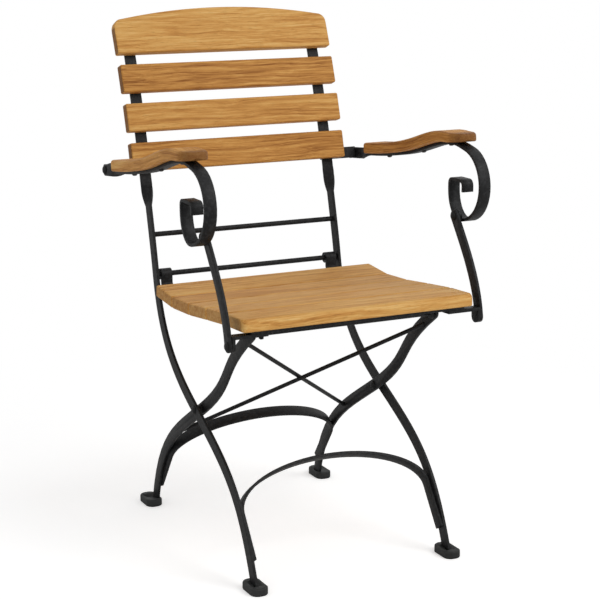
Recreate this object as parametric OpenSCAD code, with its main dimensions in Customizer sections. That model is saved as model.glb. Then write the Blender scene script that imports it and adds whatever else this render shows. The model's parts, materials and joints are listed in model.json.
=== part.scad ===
// Folding garden armchair: two crossed frames of flat bar, a slatted seat and back,
// and arms on scrolled bars that are linked to the front of the seat.
// X is the width, -Y the front and Z up. The origin is on the floor, under the middle.
// Places along Y are measured from the crossing pivot: negative is ahead of it.

/* [Flat bar] */
// Width of the flat bar
bar_w = 20; // [17:0.5:22]
// Thickness of the flat bar
bar_t = 5; // [4:0.5:6]

/* [Long frame, front legs and back] */
// Half distance between the middles of the two long bars
long_x = 178; // [160:1:186]
// Height of the crossing pivot
cross_z = 238; // [225:1:250]
// Crossing pivot, from the middle of the chair's depth
cross_y = -19; // [-40:0.5:0]
// Front leg at the foot, ahead of the crossing
front_reach = 233; // [220:1:245]
// Slope of the front leg at the foot
front_slope = 69; // [60:1:80]
// Slope of the long bar at the crossing
long_cross_slope = 27; // [20:1:35]
// Slope of the long bar at the seat pivot
long_seat_slope = 79; // [74:1:84]
// Seat pivot behind the crossing
pivot_back = 167; // [155:1:175]
// Start of the quarter turn, behind the seat pivot
turn_back = 28; // [24:1:32]
// Start of the quarter turn, above the seat pivot
turn_up = 116.5; // [110:0.5:122]
// Length of the quarter turn
turn_len = 45; // [40:1:60]
// Place of the upper cross rod along the bar, from the seat pivot to the quarter turn
upper_rod_at = 0.58; // [0.5:0.02:0.7]
// Diameter of the cross rods
rod_d = 9; // [8:0.5:10]

/* [Back slats] */
// Slope of the back at its lowest slat
back_slope = 75.5; // [72:0.5:78]
// Bend of the back from each slat to the next
back_bend = 2.5; // [1:0.5:4]
// Middle of the lowest slat, above the quarter turn
back_first = 39; // [37:1:50]
// Distance between the middles of the back slats
back_pitch = 68; // [60:1:75]
// Height of a back slat
back_slat_h = 49; // [40:1:54]
// Height of the arched top slat at its middle
crest_h = 79; // [74:1:90]
// Height of the arched top slat where its corners begin
crest_side = 44; // [38:1:50]
// Drop of the arch from its middle to its corners
crest_drop = 17; // [10:1:22]
// Width of the rounded corners of the top slat
crest_corner = 15; // [8:1:24]
// Bar above the middle of the seat on the top slat
bar_over = 16; // [10:1:18]
// Thickness of the back slats
back_slat_t = 18; // [14:1:20]
// Ends of all slats, outward of the middle of the long bars
slat_over = 28; // [22:0.5:32]
// Rounding of the slats' long edges
slat_round = 3; // [1:0.5:5]

/* [Short frame, rear legs] */
// Room between the long bar and the short bar at the crossing
leg_gap = 8; // [6:0.5:10]
// Rear leg at the foot, behind the crossing
rear_reach = 222; // [210:1:235]
// Slope of the rear leg at the foot
rear_slope = 103; // [98:1:110]
// Slope of the short bar at the crossing
short_cross_slope = 149; // [143:1:155]
// Slope of the short bar at its top
short_top_slope = 146; // [140:1:152]
// Top rod behind the seat's front edge
top_rod_behind = 57; // [50:1:66]
// Diameter of the crossed brace rods
brace_d = 7; // [6:0.5:8]
// Place of the braces' upper ends along the bar, from the crossing to the top rod
brace_high = 0.9; // [0.85:0.01:0.94]
// Place of the braces' lower ends along the bar, from the foot to the crossing
brace_low = 0.64; // [0.55:0.01:0.75]

/* [Stretchers] */
// Height of the stretchers' lower ends
stretcher_z = 43; // [40:1:60]
// Slope of the plane that a stretcher lies in
stretcher_slope = 55; // [50:1:60]
// Straight lap of the front stretcher on the leg
front_lap = 78; // [65:1:90]
// Rise of the front stretcher's arch
front_rise = 74; // [60:1:90]
// Straight lap of the rear stretcher on the leg
rear_lap = 84; // [70:1:95]
// Rise of the rear stretcher's arch
rear_rise = 80; // [60:1:90]

/* [Feet] */
// Length of a foot pad
foot_len = 52; // [46:1:60]
// Width of a foot pad
foot_wide = 30; // [26:1:34]
// Thickness of the pad under the bar
foot_sole = 4; // [3:0.5:6]
// Height of the pad beside the bar
foot_mid = 8; // [6:0.5:10]
// Height of the lobes before and behind the bar
foot_h = 13; // [11:0.5:16]
// Distance between the lobes
foot_recess = 27; // [25:0.5:30]
// Rear pads, outward of the bar they are on
rear_foot_out = 8; // [4:0.5:10]
// Rear pads, behind the bar they are on
rear_foot_back = 4; // [0:1:6]

/* [Seat] */
// Height of the seat's front edge
seat_h = 450; // [430:1:470]
// Front edge of the seat ahead of the crossing
seat_ahead = 256; // [250:1:262]
// Depth of a seat slat
seat_slat_d = 69; // [60:1:70]
// Gap between the seat slats
seat_gap = 3; // [2:0.5:6]
// Thickness of the seat slats
seat_slat_t = 20; // [16:1:22]
// Rounding of the seat's front edge
seat_nose = 9; // [4:1:10]
// Drop from the seat's front edge to the seat pivot
pivot_drop = 12; // [9:0.5:15]
// Room between the long bars and the seat rails
rail_gap = 4.5; // [0.5:0.5:6]
// Bend radius at the upturned rear end of the seat rails
rail_bend = 7; // [4:0.5:10]
// Bearing of the latch hooks below the rail
latch_drop = 11; // [10.5:0.5:14]
// Thickness of the latch hook's tooth
latch_tooth = 9; // [6:0.5:11]
// Ends of the seat's crossbar, outward of the middle of the rails
crossbar_over = 29; // [20:1:32]
// Middle of the crossbar ahead of the middle of the front slat
crossbar_ahead = 18; // [16:0.5:22]
// Arm link pivot below the seat ear's flat
ear_drop = 11; // [10:0.5:14]

/* [Arms] */
// Middle of the scrolled arm bars, outward of the slats' ends
arm_room = 36.5; // [34:0.5:42]
// Arm hinge above the quarter turn, along the back
hinge_up = 24; // [20:0.5:25]
// Arm hinge behind the middle of the back's bar
hinge_back = 15.5; // [15:0.5:18]
// Fall of the arm bar towards its hinge
arm_fall = 5.5; // [3:0.5:7]
// Straight lug of the arm bar in front of its hinge
hinge_lug = 27.5; // [25:0.5:32]
// Length of the arm bar's quarter turn
arm_turn = 50; // [40:1:55]
// Rear end of the armrest ahead of the arm hinge
armrest_ahead = 85.5; // [84:0.5:92]
// Width of the armrest
armrest_w = 50; // [44:1:56]
// Thickness of the armrest
armrest_t = 19; // [15:1:22]
// Thinning of the armrest at its tip
armrest_thin = 6; // [0:0.5:8]
// Armrest's middle outward of the arm bar's middle
armrest_out = -1.5; // [-4:0.5:4]
// Front end of the armrest ahead of the scroll's middle
armrest_tip = 12.5; // [8:0.5:18]
// Rise of the armrest from its crest to its front end
armrest_rise = 6; // [0:1:10]
// Hollow of the armrest behind the scroll's middle
hollow_back = 142; // [136:1:150]
// Hollow of the arm bar below the top of the scroll
hollow_drop = 22; // [18:1:26]
// Crest of the armrest behind the scroll's middle
arm_crest_back = 22; // [16:1:30]
// Crest of the arm bar above the top of the scroll
arm_crest_up = 4.5; // [3:0.5:6]
// Scroll's middle ahead of the arm hinge
scroll_ahead = 388.5; // [372:0.5:398]
// Scroll's middle below the arm hinge
scroll_drop = 3; // [0:0.5:10]
// Radius of the scroll
scroll_r = 60; // [55:1:66]
// Upright of the scroll's inner end, behind its middle
curl_back = 34; // [28:1:38]
// Crook of the scroll's inner end ahead of the upright
curl_ahead = 42; // [34:1:46]
// Top of the scroll's inner end above the scroll's middle
curl_top = 5; // [0:1:10]
// Length of the crook's hanging end
curl_end = 10; // [8:1:20]
// Foot of the inner end's upright, below the scroll's middle
curl_low = 12; // [8:1:16]
// Bend radius in the scroll's inner end
curl_bend = 8; // [6:0.5:10]
// Link pivot above the scroll's lowest point
link_up = 7; // [6:0.5:9]
// Thickness of the pivot lug on the scroll
link_lug = 5.5; // [4:0.5:7]
// Slope of the arm link at the seat
link_low_slope = 82; // [75:1:90]
// Slope of the arm link at the scroll
link_high_slope = 54; // [48:1:62]

/* [Fasteners and clearances] */
// Diameter of the pivot rivets
rivet_d = 8; // [6:0.5:9]
// Diameter of the rivets' heads
rivet_head = 15; // [13:0.5:17]
// Height of the rivets' heads
rivet_head_h = 3.5; // [2.5:0.5:4]
// Diameter of the wood screws
screw_d = 4.5; // [3.5:0.5:5]
// Diameter of the screws' heads
screw_head = 9; // [8:0.5:10]
// Depth of the screws in the wood
screw_depth = 12; // [8:0.5:13]
// Radial clearance of a rivet in its bore
rivet_fit = 0.05; // [0.02:0.01:0.1]
// Radial clearance of the seat's eyes on their rod
eye_fit = 0.1; // [0.05:0.01:0.1]
// Gap between faces that turn past each other
pivot_gap = 0.3; // [0.2:0.1:0.6]
// Gap round the bar in a foot's socket
socket_gap = 0.3; // [0.1:0.1:0.5]

/* [Hidden] */
sides = [["left", -1], ["right", 1]];

iron = "#2b2c2e";
oak = "#b98449";
steel = "#55585a";
$fn = 48;

// Tangent strength of the curved stretches, from the foot, to the seat pivot and to the top rod
long_pull = [1.37, 1.22];
short_pull = [1.27, 1.73];
// Tilt of each seat slat, front to rear, front edge up
seat_tilt = [2.5, 5.5, 6, 2.5, -5];
// Points per curved stretch, and steps of a quarter turn
steps = 12;
turn_steps = 10;
// Length by which a straight bar goes into a quarter turn, whose ends are straight for twice that
turn_lap = 1;
// Play by which a quarter turn is slimmer than the bars that its ends sit in
turn_play = 0.04;
// Gap between the two braces where they cross
brace_gap = 0.2;
// Front of the latch hooks below the middle of their rod, and the chamfer of its corner
latch_low = 7;
latch_chamfer = 2;
// Pieces of the arm's run: where the armrest thins, where it leaves the bar, and where it is screwed
thin_from = 12;
crest_at = 16;
arm_screws_at = [2, 8, 14];
// Overcut of the bores, and a length beyond the whole chair
over = 1;
beyond = 1000;

back_count = 4;
seat_count = len(seat_tilt);

// Directions, and curved stretches between two places with given slopes
function dir(a) = [cos(a), sin(a)];
function left_of(v) = [-v[1], v[0]] / norm(v);
function curve(p, a, q, b, pull, n = steps) = [
    for (i = [0:n])
        let (t = i / n, m = pull * norm(q - p))
            (2 * t^3 - 3 * t^2 + 1) * p + (t^3 - 2 * t^2 + t) * m * dir(a)
            + (3 * t^2 - 2 * t^3) * q + (t^3 - t^2) * m * dir(b)
];
function arc(c, r, a, b, n = steps) = [for (i = [0:n]) c + r * dir(a + (b - a) * i / n)];
function tail(list) = [for (i = [1:len(list) - 1]) list[i]];
function at_height(path, z) =
    let (i = [for (k = [0:len(path) - 2]) if (path[k][1] <= z && z < path[k + 1][1]) k][0])
        path[i] + (z - path[i][1]) / (path[i + 1][1] - path[i][1]) * (path[i + 1] - path[i]);
function place(path, share) =
    let (s = share * (len(path) - 1), i = min(floor(s), len(path) - 2))
        path[i] + (s - i) * (path[i + 1] - path[i]);

// Outline of a bar of width w whose middle follows a path
function edge_normal(path, i) = left_of(path[i + 1] - path[i]);
function corner_normal(path, i) =
    let (a = edge_normal(path, max(i - 1, 0)), b = edge_normal(path, min(i, len(path) - 2)))
        (a + b) / (1 + a * b);
function shifted(path, d) = [for (i = [0:len(path) - 1]) path[i] + d * corner_normal(path, i)];
function reversed(list) = [for (i = [len(list) - 1:-1:0]) list[i]];
function ribbon(path, w) = concat(shifted(path, w / 2), reversed(shifted(path, -w / 2)));

// The same with a round start, a round end, or both, and a leg cut level at the height z
function slope_of(v) = atan2(v[1], v[0]);
function inner(list) = [for (i = [1:len(list) - 2]) list[i]];
function rounded_start(path, w) =
    let (a = slope_of(path[1] - path[0])) inner(arc(path[0], w / 2, a - 90, a - 270));
function rounded_end(path, w) =
    let (n = len(path) - 1, a = slope_of(path[n] - path[n - 1])) inner(arc(path[n], w / 2, a + 90, a - 90));
function level_start(path, d, z) =
    let (way = path[1] - path[0], p = path[0] + d * left_of(way)) p + way * (z - p[1]) / way[1];
function leg_ribbon(path, w, z, end) = concat(
    [level_start(path, w / 2, z)], tail(shifted(path, w / 2)), end ? rounded_end(path, w) : [],
    reversed(tail(shifted(path, -w / 2))), [level_start(path, -w / 2, z)]
);
function round_ribbon(path, w, start, end) = concat(
    shifted(path, w / 2), end ? rounded_end(path, w) : [],
    reversed(shifted(path, -w / 2)), start ? rounded_start(path, w) : []
);

// Pivots, as [Y, Z]
crossing = [cross_y, cross_z];
seat_pivot = [cross_y + pivot_back, seat_h - pivot_drop];
turn_low = seat_pivot + [turn_back, turn_up];
turn_high = turn_low + turn_len * dir(back_slope);
arm_hinge = turn_high + hinge_up * dir(back_slope) - hinge_back * left_of(dir(back_slope));

// Long bar: foot, crossing, seat pivot, quarter turn
long_foot = [cross_y - front_reach, foot_sole - 1];
long_leg = curve(long_foot, front_slope, crossing, long_cross_slope, long_pull[0]);
long_middle = curve(crossing, long_cross_slope, seat_pivot, long_seat_slope, long_pull[1]);
long_upper = curve(seat_pivot, long_seat_slope, turn_low, back_slope, 1, 6);
long_path = concat(long_leg, tail(long_middle), tail(long_upper), [turn_low + turn_lap * dir(back_slope)]);
upper_rod = place(long_upper, upper_rod_at);

// Back: straight seats for the slats, with a bend between each two
function back_angle(i) = back_slope - back_bend * i;
function back_seat(i) =
    i == 0 ? turn_high + back_first * dir(back_slope)
    : back_seat(i - 1) + back_pitch / 2 * (dir(back_angle(i - 1)) + dir(back_angle(i)));
back_path = concat(
    [turn_high - turn_lap * dir(back_slope)],
    [for (i = [0:back_count - 2]) back_seat(i) + back_pitch / 2 * dir(back_angle(i))],
    [back_seat(back_count - 1) + bar_over * dir(back_angle(back_count - 1))]
);

// Widths that follow from each other: slats, rails, crossbar and arm bars
slat_half = long_x + slat_over;
rail_x = long_x - bar_t / 2 - rail_gap - bar_w / 2;
crossbar_half = rail_x + crossbar_over;
arm_x = slat_half + arm_room;

// Seat: the slats' undersides, and the rails that bend between them
seat_pitch = seat_slat_d + seat_gap;
seat_edge = [cross_y - seat_ahead, seat_h];
function seat_dir(i) = dir(-seat_tilt[i]);
function seat_seat(i) =
    i == 0 ? seat_edge + seat_slat_d / 2 * seat_dir(0) - seat_slat_t * left_of(seat_dir(0))
    : seat_seat(i - 1) + seat_pitch / 2 * (seat_dir(i - 1) + seat_dir(i));
function in_seat(y, z) = seat_seat(0) + y * seat_dir(0) + z * left_of(seat_dir(0));
rear_slat = seat_count - 1;
rail_front = in_seat(bar_w / 2 - crossbar_ahead, -bar_t / 2);
rail_joints = [
    for (i = [0:rear_slat - 1])
        seat_seat(i) + seat_pitch / 2 * seat_dir(i) - bar_t / 2 * left_of(seat_dir(i) + seat_dir(i + 1))
];
rail_rear = seat_seat(rear_slat) + (seat_slat_d / 2 + bar_t) * seat_dir(rear_slat)
    - bar_t / 2 * left_of(seat_dir(rear_slat));
eye_bore = rod_d + 2 * eye_fit;
eye_r = eye_bore / 2 + bar_t;
rail_plate_y = seat_pivot[0] - eye_r + bar_t / 2;
rail_rise = -seat_tilt[rear_slat];
rail_bend_y = rail_plate_y - rail_bend;
rail_bend_z = rail_rear[1] + rail_bend * cos(rail_rise)
    + (rail_bend_y + rail_bend * sin(rail_rise) - rail_rear[0]) * tan(rail_rise);
rail_path = concat(
    [rail_front], rail_joints, [rail_rear],
    arc([rail_bend_y, rail_bend_z], rail_bend, rail_rise - 90, 0, 4),
    [[rail_plate_y, seat_pivot[1]]]
);

// Short frame's top rod, hung in the latch hooks
top_rod_y = seat_edge[0] + top_rod_behind;
rail_under = in_seat(0, -bar_t);
function rail_under_z(y) = rail_under[1] - (y - rail_under[0]) * tan(seat_tilt[0]);
top_rod = [top_rod_y, rail_under_z(top_rod_y) - latch_drop];
latch_r = rod_d / 2 + pivot_gap;

// Short bar: foot, crossing, top rod
short_x = long_x - bar_t - leg_gap;
short_foot = [cross_y + rear_reach, foot_sole - 1];
short_leg = curve(short_foot, rear_slope, crossing, short_cross_slope, short_pull[0]);
short_upper = curve(crossing, short_cross_slope, top_rod, short_top_slope, short_pull[1]);
short_path = concat(short_leg, tail(short_upper));
brace_top = place(short_upper, brace_high);
brace_foot = place(short_leg, brace_low);

// Arm bar: hinge lug, quarter turn, run under the armrest, scroll and curl
arm_back = 180 - arm_fall;
arm_turn_start = arm_hinge + hinge_lug * dir(arm_back);
arm_turn_end = arm_hinge + (hinge_lug + arm_turn) * dir(arm_back);
armrest_start = arm_hinge + armrest_ahead * dir(arm_back);
scroll_c = arm_hinge - [scroll_ahead, scroll_drop];
// Place round the scroll's middle where the armrest's run ends
scroll_start = 101;
arm_hollow = scroll_c + [hollow_back, scroll_r - hollow_drop];
arm_crest = scroll_c + [arm_crest_back, scroll_r + arm_crest_up];
hollow_slope = 165;
arm_run = concat(
    curve(armrest_start, arm_back, arm_hollow, hollow_slope, 1, 8),
    tail(curve(arm_hollow, hollow_slope, arm_crest, 180, 1, 8)),
    tail(curve(arm_crest, 180, scroll_c + scroll_r * dir(scroll_start), scroll_start + 90, 1, 4))
);
armrest_line = concat(
    [for (i = [0:crest_at]) arm_run[i]],
    [for (i = [1:4]) arm_crest + i / 4 * (arm_crest_back + armrest_tip) * [-1, tan(armrest_rise)]]
);
curl_y = scroll_c[0] + curl_back;
curl_z = scroll_c[1] + curl_top;
curl_foot_z = scroll_c[1] - curl_low;
arm_path = concat(
    [arm_turn_end - turn_lap * dir(arm_back)],
    arm_run,
    tail(arc(scroll_c, scroll_r, scroll_start, 270, 20)),
    [for (a = [-80:10:0]) [scroll_c[0] + curl_back * cos(a), curl_foot_z + (scroll_r - curl_low) * sin(a)]],
    arc([curl_y - curl_bend, curl_z - curl_bend], curl_bend, 0, 90, 4),
    arc([curl_y - curl_ahead + curl_bend, curl_z - curl_bend], curl_bend, 90, 180, 4),
    [[curl_y - curl_ahead, curl_z - curl_bend - curl_end]]
);

// Arm link: a bar on edge between the scroll's lug and the seat's ear
link_pivot = scroll_c + [0, link_up - scroll_r];
ear_pivot = in_seat(-crossbar_ahead, -2 * bar_t - ear_drop);
lug_x = arm_x - bar_w / 2 - link_lug / 2;
link_x = lug_x - link_lug / 2 - pivot_gap - bar_t / 2;
ear_x = link_x - bar_t - pivot_gap;
link_path = curve(ear_pivot, link_low_slope, link_pivot, link_high_slope, 1);

// Arm hinge: the bracket's tab on the inner side of the arm bar's lug
tab_x = arm_x - bar_t - pivot_gap;
tab_len = hinge_back - bar_t;

// A plate with its outline in the YZ plane, thickness t about x
module upright_plate(x, t) {
    translate([x - t / 2, 0, 0]) rotate([90, 0, 90]) linear_extrude(t) children();
}

// A bar, rod or bore along X from x1 to x2 at the place p
module along_x(p, d, x1, x2) {
    translate([x1, p[0], p[1]]) rotate([0, 90, 0]) cylinder(d = d, h = x2 - x1);
}

// Round end of a bar, or another disc, in the YZ plane
module disc(p, d) {
    translate(p) circle(d = d);
}

// A quarter turn along the bar, from on edge at p to flat, with straight ends
function turn_section(z, a) = [
    for (c = [[1, 1], [-1, 1], [-1, -1], [1, -1]])
        let (x = c[0] * (bar_t - turn_play) / 2, y = c[1] * (bar_w - turn_play) / 2)
            [x * cos(a) + y * sin(a), y * cos(a) - x * sin(a), z]
];
module quarter_turn(p, a, length) {
    ends = 2 * turn_lap;
    step = (length - 2 * ends) / turn_steps;
    sections = concat(
        [turn_section(0, 0)],
        [for (i = [0:turn_steps]) turn_section(ends + step * i, 90 * i / turn_steps)],
        [turn_section(length, 90)]
    );
    last = len(sections) - 1;
    sides = [
        for (k = [0:last - 1]) for (j = [0:3])
            let (low = 4 * k + j, next = 4 * k + (j + 1) % 4)
                each [[low, low + 4, next + 4], [low, next + 4, next]]
    ];
    translate([0, p[0], p[1]]) rotate([a - 90, 0, 0]) polyhedron(
        points = [for (section = sections) each section],
        faces = concat([[0, 1, 2, 3]], sides, [[4 * last + 3, 4 * last + 2, 4 * last + 1, 4 * last]])
    );
}

// Domed head on the XY plane
module head(d, h) {
    rotate_extrude() polygon([[0, 0], [d / 2, 0], [d * 0.43, h * 0.55], [d * 0.25, h * 0.9], [0, h]]);
}

// Rivet along X, with its heads outside x1 and x2, for x1 < x2
module rivet(p, x1, x2) {
    along_x(p, rivet_d, x1, x2);
    translate([x2, p[0], p[1]]) rotate([0, 90, 0]) head(rivet_head, rivet_head_h);
    translate([x1, p[0], p[1]]) rotate([0, -90, 0]) head(rivet_head, rivet_head_h);
}

module rivet_bore(p, x, t) {
    along_x(p, rivet_d + 2 * rivet_fit, x - t, x + t);
}

// Outline with rounded corners: right top, left top, left foot, right foot
function corner(c, r, a) = [for (i = [0:4]) c + r * dir(a + 22.5 * i)];
function rounded(w, h, r) = concat(
    corner([w / 2 - r[0], h / 2 - r[0]], r[0], 0),
    corner([r[1] - w / 2, h / 2 - r[1]], r[1], 90),
    corner([r[2] - w / 2, r[2] - h / 2], r[2], 180),
    corner([w / 2 - r[3], r[3] - h / 2], r[3], 270)
);

// Slat standing on the XY plane, along X, with screw holes from below at the x places
module slat(depth, thick, nose, middle, screws_x) {
    r = slat_round;
    difference() {
        rotate([90, 0, 90]) translate([middle, thick / 2]) linear_extrude(2 * slat_half, center = true)
            polygon(rounded(depth, thick, [r, nose, r, r]));
        for (x = screws_x) translate([x, 0, -over]) cylinder(d = screw_d, h = screw_depth + over);
    }
}

// Screw from below, its head under a bar of thickness bar_t
module screw(x) {
    translate([x, 0, -bar_t]) cylinder(d = screw_d, h = bar_t + screw_depth);
    translate([x, 0, -bar_t]) rotate([180, 0, 0]) head(screw_head, screw_head * 0.35);
}

module screw_bore(x) {
    translate([x, 0, -2 * bar_t]) cylinder(d = screw_d + 2 * rivet_fit, h = 3 * bar_t);
}

// Frames of the slats: Y along the bars, Z out of the face that carries the slat
module at_back(i) {
    p = back_seat(i) + bar_t / 2 * left_of(dir(back_angle(i)));
    translate([0, p[0], p[1]]) rotate([back_angle(i), 0, 0]) children();
}

module at_seat(i) {
    translate([0, seat_seat(i)[0], seat_seat(i)[1]]) rotate([-seat_tilt[i], 0, 0]) children();
}

// Frame of a screw through the arm bar at a piece of its run
module at_arm(i) {
    p = (arm_run[i] + arm_run[i + 1]) / 2;
    way = arm_run[i] - arm_run[i + 1];
    q = p + bar_t / 2 * left_of(way);
    translate([0, q[0], q[1]]) rotate([atan2(way[1], way[0]), 0, 0]) children();
}

// Long frame
module long_bar(side) {
    color(iron) difference() {
        union() {
            upright_plate(side * long_x, bar_t) polygon(leg_ribbon(long_path, bar_w, foot_sole, false));
            union() {
                translate([side * long_x, 0, 0]) quarter_turn(turn_low, back_slope, turn_len);
                upright_plate(side * long_x, bar_w) polygon(ribbon(back_path, bar_t));
            }
        }
        rivet_bore(crossing, side * long_x, bar_t);
        for (i = [0:back_count - 1]) at_back(i) screw_bore(side * long_x);
    }
}

module cross_rod(p) {
    color(iron) along_x(p, rod_d, bar_t / 2 - long_x, long_x - bar_t / 2);
}

module crossing_rivet(side) {
    color(iron) mirror([side < 0 ? 1 : 0, 0, 0]) {
        rivet(crossing, short_x - bar_t / 2 - pivot_gap, long_x + bar_t / 2);
        along_x(crossing, rivet_head, short_x + bar_t / 2 + pivot_gap, long_x - bar_t / 2);
    }
}

module back_slat(i) {
    middle = i == back_count - 1 ? (crest_h - back_slat_h) / 2 : 0;
    height = i == back_count - 1 ? crest_h : back_slat_h;
    color(oak) at_back(i) intersection() {
        slat(height, back_slat_t, slat_round, middle, [-long_x, long_x]);
        if (i == back_count - 1) linear_extrude(back_slat_t) polygon(crest());
    }
}

// Outline of the arched top slat: straight foot and sides, rounded corners, arched top
function crest() =
    let (
        low = -back_slat_h / 2,
        flat = slat_half - crest_corner,
        shoulder = low + crest_h - crest_drop,
        drop = shoulder - low - crest_side,
        right = [for (a = [0:15:75]) [flat + crest_corner * cos(a), low + crest_side + drop * sin(a)]],
        arch = [for (s = [1:-0.125:-1]) [s * flat, shoulder + crest_drop * (1 - s^2)]],
        left = [for (p = reversed(right)) [-p[0], p[1]]]
    )
    concat([[slat_half, low]], right, arch, left, [[-slat_half, low]]);

module back_screws(i) {
    color(steel) at_back(i) for (s = sides) screw(s[1] * long_x);
}

// Bracket: a strap on the rear of the back's bar, and a tab on edge that carries the arm
module arm_bracket(side) {
    root = arm_hinge + tab_len * left_of(dir(back_slope));
    color(iron) mirror([side < 0 ? 1 : 0, 0, 0]) difference() {
        union() {
            translate([long_x - bar_w / 2, turn_high[0], turn_high[1]]) rotate([back_slope, 0, 0])
                translate([0, hinge_up - bar_w / 2, -1.5 * bar_t])
                    cube([tab_x + bar_t / 2 - long_x + bar_w / 2, bar_w, bar_t]);
            upright_plate(tab_x, bar_t)
                polygon(round_ribbon([arm_hinge, root], bar_w, true, false));
        }
        rivet_bore(arm_hinge, tab_x, bar_t);
    }
}

module arm_rivet(side) {
    color(iron) mirror([side < 0 ? 1 : 0, 0, 0])
        rivet(arm_hinge, tab_x - bar_t / 2, arm_x + bar_t / 2 + pivot_gap);
}

// Stretcher: laps on the two bars' inner faces and an arch between them
module stretcher(foot, half, lap, rise, slope) {
    path = concat(
        [[half, 0]],
        [for (a = [0:5:180]) [half * cos(a), lap + rise * sin(a)]],
        [[-half, 0]]
    );
    color(iron) translate([0, foot[0], foot[1]]) rotate([slope, 0, 0])
        linear_extrude(bar_w, center = true) polygon(ribbon(path, bar_t));
}

module front_stretcher() {
    y = at_height(long_leg, stretcher_z)[0];
    stretcher([y, stretcher_z], long_x - bar_t, front_lap, front_rise, stretcher_slope);
}

// Foot: a pad with a lobe before and a lobe behind the bar, which stands in a socket
module foot(path, x, out, back) {
    end_r = 0.43 * foot_wide;
    pad = rounded(foot_wide, foot_len, [end_r, end_r, end_r, end_r]);
    color(steel) difference() {
        translate([x + out, path[0][0] + back, 0]) union() {
            linear_extrude(foot_mid) polygon(pad);
            linear_extrude(foot_h) difference() {
                polygon(pad);
                square([foot_wide + 2 * over, foot_recess], center = true);
            }
        }
        upright_plate(x, bar_t + 2 * socket_gap)
            polygon(leg_ribbon(path, bar_w + 2 * socket_gap, foot_sole, false));
    }
}

// Short frame
module short_bar(side) {
    color(iron) difference() {
        upright_plate(side * short_x, bar_t) polygon(leg_ribbon(short_path, bar_w, foot_sole, true));
        rivet_bore(crossing, side * short_x, bar_t);
    }
}

module short_top_rod() {
    color(iron) along_x(top_rod, rod_d, bar_t / 2 - short_x, short_x - bar_t / 2);
}

module rear_stretcher() {
    y = at_height(short_leg, stretcher_z)[0];
    stretcher([y, stretcher_z], short_x - bar_t, rear_lap, rear_rise, 180 - stretcher_slope);
}

// Braces from the top of one short bar to the foot of the other, one over the other
module brace_rod(side) {
    inner = short_x - bar_t / 2;
    lift = side * (brace_d + brace_gap) / 2 * left_of(brace_foot - brace_top);
    top = brace_top + lift;
    low = brace_foot + lift;
    way = [2 * side * inner, low[0] - top[0], low[1] - top[1]];
    color(iron) intersection() {
        translate([-side * inner, top[0], top[1]] - 0.05 * way)
            rotate([0, acos(way[2] / norm(way)), atan2(way[1], way[0])])
                cylinder(d = brace_d, h = 1.1 * norm(way));
        translate([-inner, -beyond / 2, 0]) cube([2 * inner, beyond, beyond]);
    }
}

// Seat
module seat_slat(i) {
    nose = i == 0 ? seat_nose : slat_round;
    color(oak) at_seat(i) slat(seat_slat_d, seat_slat_t, nose, 0, [-rail_x, rail_x]);
}

module seat_screws(i) {
    color(steel) at_seat(i) for (s = sides) screw(s[1] * rail_x);
}

module seat_rail(side) {
    color(iron) difference() {
        union() {
            upright_plate(side * rail_x, bar_w) polygon(ribbon(rail_path, bar_t));
            upright_plate(side * rail_x, bar_w) disc(seat_pivot, 2 * eye_r);
        }
        along_x(seat_pivot, eye_bore, side * rail_x - bar_w, side * rail_x + bar_w);
        for (i = [0:rear_slat]) at_seat(i) screw_bore(side * rail_x);
    }
}

module seat_crossbar() {
    color(iron) at_seat(0) translate([-crossbar_half, -crossbar_ahead - bar_w / 2, -bar_t])
        cube([2 * crossbar_half, bar_w, bar_t]);
}

// Latch hook: bears on the short frame's top rod, with a tooth in front of it
module latch_hook(side) {
    front = top_rod[0] - latch_r - latch_tooth;
    rear = top_rod[0] + 2.2 * latch_r;
    low = top_rod[1] - latch_low;
    room = latch_drop + latch_tooth;
    x = side * (rail_x - bar_w / 2 + bar_t / 2);
    color(iron) upright_plate(x, bar_t) difference() {
        polygon([
            [front, rail_under_z(front)], [front, low + latch_chamfer], [front + latch_chamfer, low],
            [top_rod[0], low], [rear, top_rod[1]], [rear, rail_under_z(rear)]
        ]);
        disc(top_rod, 2 * latch_r);
        translate(top_rod - [latch_r, room]) square([room, room]);
        translate(top_rod - [0, room]) square([room, room + latch_r]);
    }
}

// Ear: a flat under the end of the crossbar, and a plate on edge down to the link's pivot
module seat_ear(side) {
    color(iron) mirror([side < 0 ? 1 : 0, 0, 0]) union() {
        at_seat(0) translate([rail_x, -crossbar_ahead - bar_w / 2, -2 * bar_t])
            cube([ear_x + bar_t / 2 - rail_x, bar_w, bar_t]);
        upright_plate(ear_x, bar_t)
            polygon(round_ribbon([ear_pivot, in_seat(-crossbar_ahead, -1.5 * bar_t)], bar_w, true, false));
    }
}

// Arms
module arm_bar(side) {
    lug_end = arm_turn_start + turn_lap * dir(arm_back);
    color(iron) mirror([side < 0 ? 1 : 0, 0, 0]) difference() {
        union() {
            upright_plate(arm_x, bar_t)
                polygon(round_ribbon([arm_hinge, lug_end], bar_w, true, false));
            translate([arm_x, 0, 0]) quarter_turn(arm_turn_start, arm_back, arm_turn);
            upright_plate(arm_x, bar_w) polygon(ribbon(arm_path, bar_t));
            upright_plate(lug_x, link_lug) disc(link_pivot, bar_w);
        }
        rivet_bore(arm_hinge, arm_x, bar_t);
        along_x(link_pivot, rivet_d + 2 * rivet_fit, lug_x - bar_t, lug_x + link_lug / 2);
        for (i = arm_screws_at) at_arm(i) screw_bore(arm_x);
    }
}

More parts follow.
